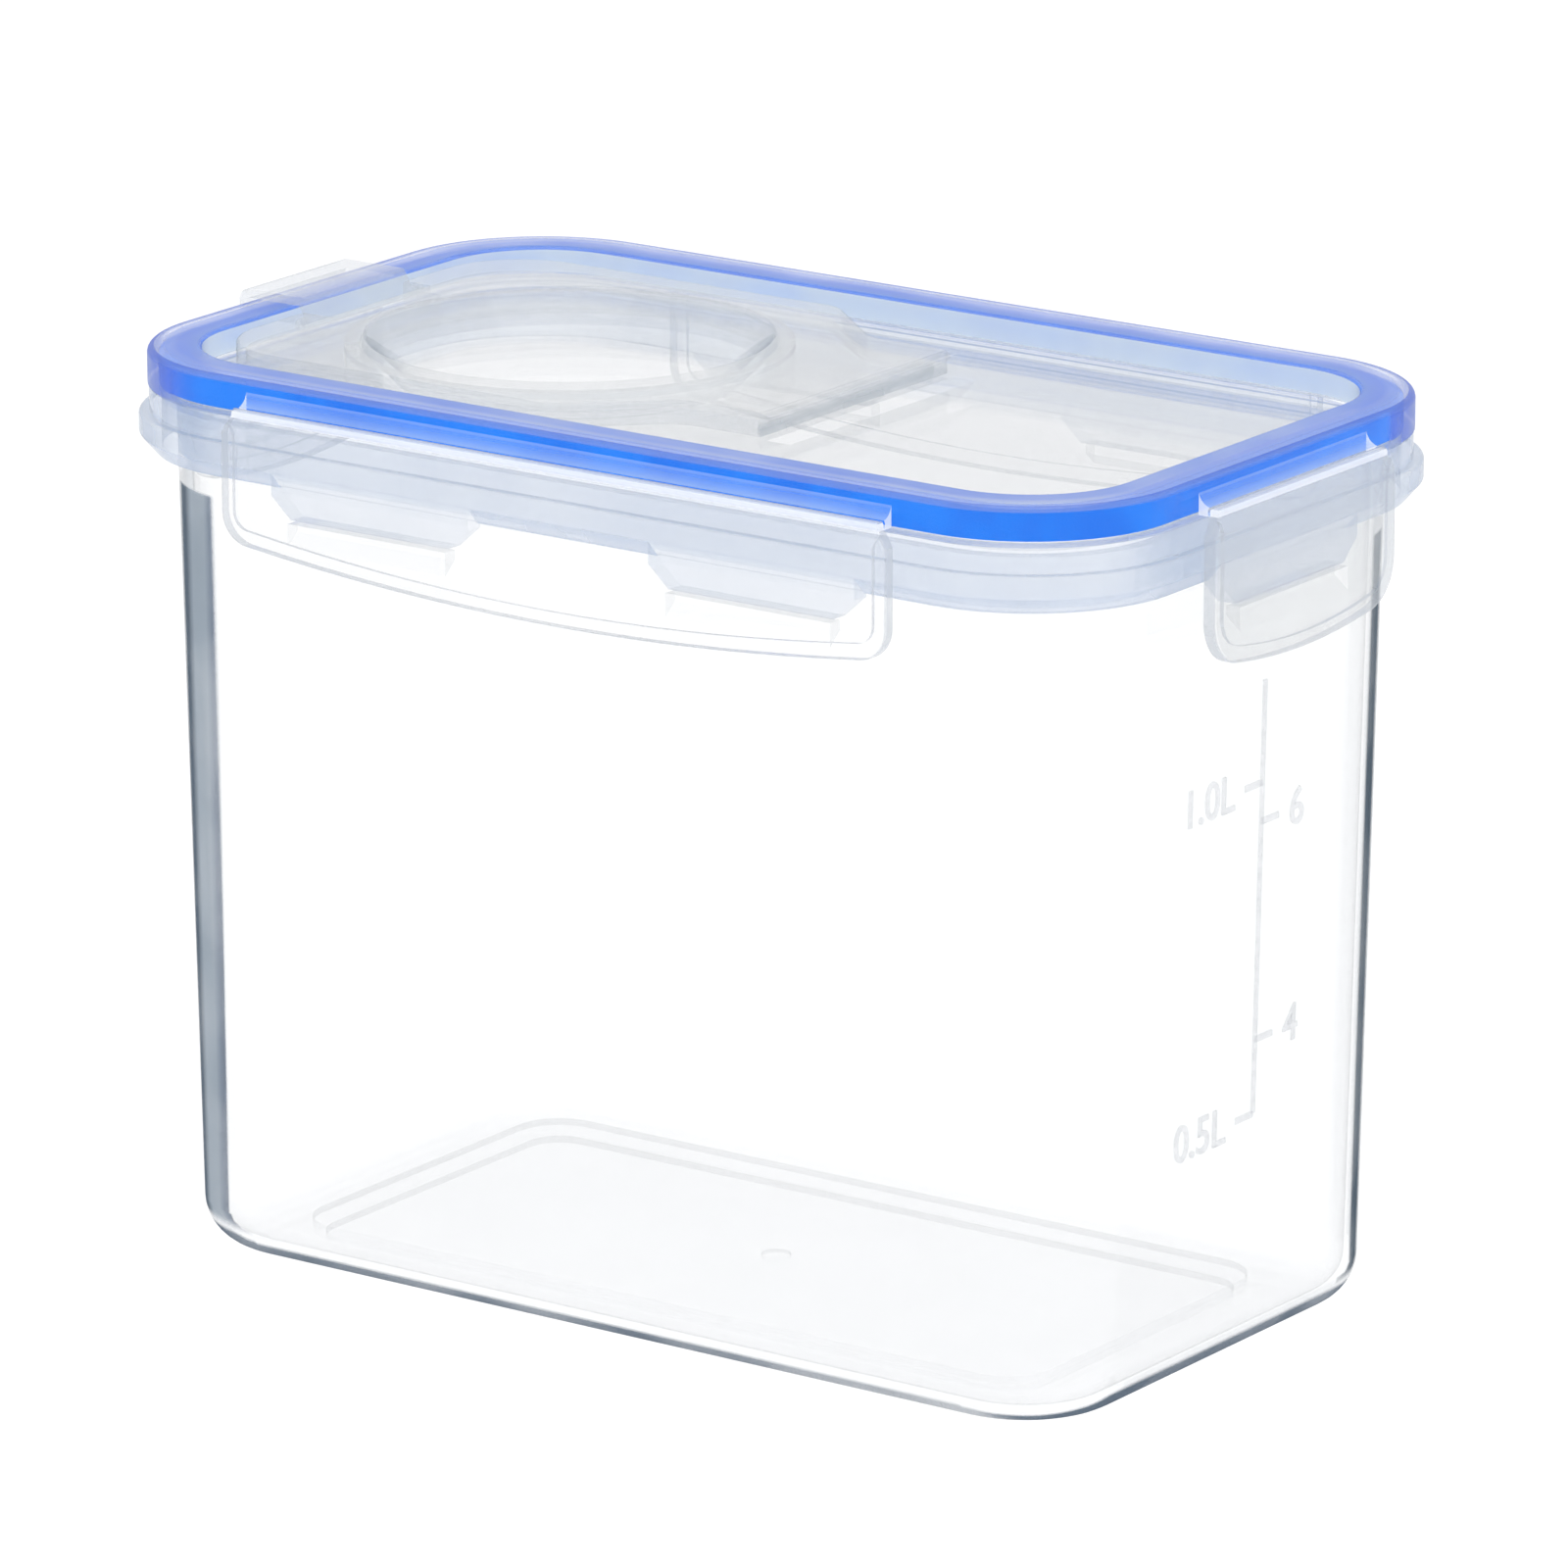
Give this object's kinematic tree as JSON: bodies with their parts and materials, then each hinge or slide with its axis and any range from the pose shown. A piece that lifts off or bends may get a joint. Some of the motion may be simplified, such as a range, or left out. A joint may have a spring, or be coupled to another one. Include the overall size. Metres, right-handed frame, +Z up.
{
  "type": "food storage container",
  "caption": "Clear rectangular food keeper with a clip-lock lid: blue gasket, hinged locking wings and a hinged pour flap held by a small latch.",
  "frame": {"origin": "on the table, under the middle of the tub", "axes": "+X along the long side away from the pour flap, +Y to the back, +Z up"},
  "size_m": [0.1672, 0.1026, 0.1267],
  "materials": {
    "clear_tub": "clear gloss",
    "clear_lid": "clear, slightly milky",
    "wing_plastic": "translucent gloss",
    "flap_plastic": "translucent gloss",
    "blue_silicone": "satin",
    "clear_silicone": "satin, translucent"
  },
  "bodies": {
    "container": {"container": "clear_tub"},
    "lid": {"lid": "clear_lid", "lid_gasket": "blue_silicone"},
    "front_wing": {"front_wing": "wing_plastic"},
    "back_wing": {"back_wing": "wing_plastic"},
    "left_wing": {"left_wing": "wing_plastic"},
    "right_wing": {"right_wing": "wing_plastic"},
    "flap": {"flap": "flap_plastic", "flap_seal": "clear_silicone"},
    "flap_latch": {"flap_latch": "wing_plastic"}
  },
  "joints": [
    {"name": "lid_lift", "type": "slide", "parent": "container", "child": "lid", "axis": [0, 0, 1], "range_m": [0, 0.15]},
    {"name": "front_wing_hinge", "type": "hinge", "parent": "lid", "child": "front_wing", "pos_m": [0, -0.05013, 0.1213], "axis": [-1, 0, 0], "range_deg": [0, 120]},
    {"name": "back_wing_hinge", "type": "hinge", "parent": "lid", "child": "back_wing", "pos_m": [0, 0.05013, 0.1213], "axis": [1, 0, 0], "range_deg": [0, 120]},
    {"name": "right_wing_hinge", "type": "hinge", "parent": "lid", "child": "right_wing", "pos_m": [0.08243, 0, 0.1213], "axis": [0, -1, 0], "range_deg": [0, 120]},
    {"name": "left_wing_hinge", "type": "hinge", "parent": "lid", "child": "left_wing", "pos_m": [-0.08243, 0, 0.1213], "axis": [0, 1, 0], "range_deg": [0, 120]},
    {"name": "flap_hinge", "type": "hinge", "parent": "lid", "child": "flap", "pos_m": [0.01271, 0, 0.12396], "axis": [0, 1, 0], "range_deg": [0, 105]},
    {"name": "latch_hinge", "type": "hinge", "parent": "flap", "child": "flap_latch", "pos_m": [-0.06927, 0, 0.12361], "axis": [0, 1, 0], "range_deg": [0, 90]}
  ]
}
